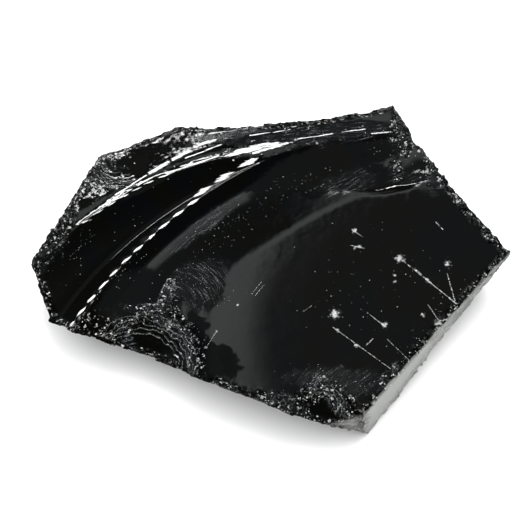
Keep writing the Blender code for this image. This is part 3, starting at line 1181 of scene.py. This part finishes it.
def glass_direction(place, look):
    """Which way the glass faces: broken into facets where it is crushed, roughened by its bumps,
    and in places turned to the dark or to the light."""
    way = chipped_normal(place, ease(look["crushed"], 0.05, 0.7))
    bumps = [(noise(place, 0.25, 2.0), 0.03, 0.0006),
             (look["streaks"], times_add(look["frosted"], 0.3, 0.004), 0.0003),
             (look["fine"], times(look["frosted"], 0.3), 0.00012),
             (look["ring_height"], look["upper"], 0.001),
             (look["grain"], times(look["crushed"], 0.25), 0.0005)]
    for height, strength, distance in bumps:
        way = bump(height, strength, distance, way)
    torn = ease(times_add(look["ragged"], 0.16, look["shaded"]), 0.1, 0.6)
    way = turned_to_dark(way, times(torn, look["shaded"]))
    lit = blend_way(look["gleam"], way, fixed_way(place.id_data, TO_THE_LIGHT))
    return vector_calc("NORMALIZE", lit)


def black_glass():
    """Black glass: a gloss over almost no colour, streaked where it is frosted, broken into
    facets and pale grains where it is crushed, and turned to the light along its ridges."""
    material, shader = new_material("obsidian_glass")
    place = node(material.node_tree, "ShaderNodeTexCoord").outputs["Object"]
    place = vector_calc("MULTIPLY", place, (1.0 / MM, 1.0 / MM, 1.0 / MM))
    look = glass_patterns(place)
    feed_all(shader, {"Base Color": glass_colour(place, look), "Roughness": glass_dullness(look),
                      "IOR": GLASS_BEND, "Normal": glass_direction(place, look),
                      "Specular IOR Level": times_add(look["crushed"], -0.42, 0.5)})
    return material


# ---- floor, light and camera


def look_from(azimuth, elevation, distance, target):
    """A place round the target: azimuth 0 is in front, towards -Y, and turns towards +X."""
    a, e = math.radians(azimuth), math.radians(elevation)
    way = Vector((math.sin(a) * math.cos(e), -math.cos(a) * math.cos(e), math.sin(e)))
    return Vector(target) + way * distance


def facing(place, target):
    return (Vector(target) - Vector(place)).to_track_quat("-Z", "Y").to_euler()


def add_light(name, azimuth, elevation, distance, size, radiance, gleam):
    """An oval soft light of the given width, height and radiance, aimed at the stone. One that
    gleams shows in the gloss alone, and the others light the floor and what is dull."""
    data = bpy.data.lights.new(name, "AREA")
    data.shape = "ELLIPSE"
    data.size, data.size_y = size
    data.energy = radiance * math.pi * math.pi * size[0] * size[1] / 4.0
    light = add_object(name, data)
    light.location = look_from(azimuth, elevation, distance, LIT_POINT)
    light.rotation_euler = facing(light.location, LIT_POINT)
    light.visible_glossy = gleam
    light.visible_diffuse = not gleam


def add_camera():
    data = bpy.data.cameras.new("camera")
    data.lens = CAMERA_LENS
    camera = add_object("camera", data)
    camera.location = look_from(0.0, CAMERA_ELEVATION, CAMERA_DISTANCE, SEEN_POINT)
    camera.rotation_euler = facing(camera.location, SEEN_POINT)
    bpy.context.scene.camera = camera


def add_floor():
    mesh = bpy.data.meshes.new("floor")
    mesh.from_pydata(FLOOR_CORNERS, [], [(0, 1, 2, 3)])
    material, shader = new_material("white_paper")
    feed_all(shader, {"Base Color": PAPER, "Roughness": 1.0, "Specular IOR Level": 0.0})
    mesh.materials.append(material)
    add_object("floor", mesh)


def add_world():
    """A dark studio with a broad pale reflector above and behind to the left, and a pale horizon."""
    world = bpy.data.worlds.new("studio")
    bpy.context.scene.world = world
    world.use_nodes = True
    tree = world.node_tree
    way = node(tree, "ShaderNodeTexCoord").outputs["Generated"]
    _, y, z = split("XYZ", way)
    across = vector_calc("DOT_PRODUCT", way, REFLECTOR_WAY, output="Value")
    band = times(ease(across, *BAND_STARTS), fade(across, *BAND_ENDS))
    band = times(band, ease(y, 0.1, 0.25))
    glow = times(ease(y, 0.0, 0.3), fade(y, 0.5, 0.75))
    horizon = fade(z, 0.02, 0.3)
    light = ROOM_LIGHT
    for part, strength in ((glow, GLOW_LIGHT), (band, BAND_LIGHT), (horizon, HORIZON_LIGHT)):
        light = times_add(part, strength, light)
    colour = node_by("ShaderNodeCombineColor", *[times(light, tint) for tint in ROOM_TINT])
    feed(tree.nodes["Background"].inputs["Color"], colour.outputs[0])


def main():
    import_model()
    stone = stone_surface()
    stone.data.materials.append(black_glass())
    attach(stone, "root")
    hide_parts(NODE)
    add_floor()
    add_world()
    for light in LIGHTS:
        add_light(*light)
    add_camera()
    bpy.context.scene.view_settings.view_transform = "Standard"


main()
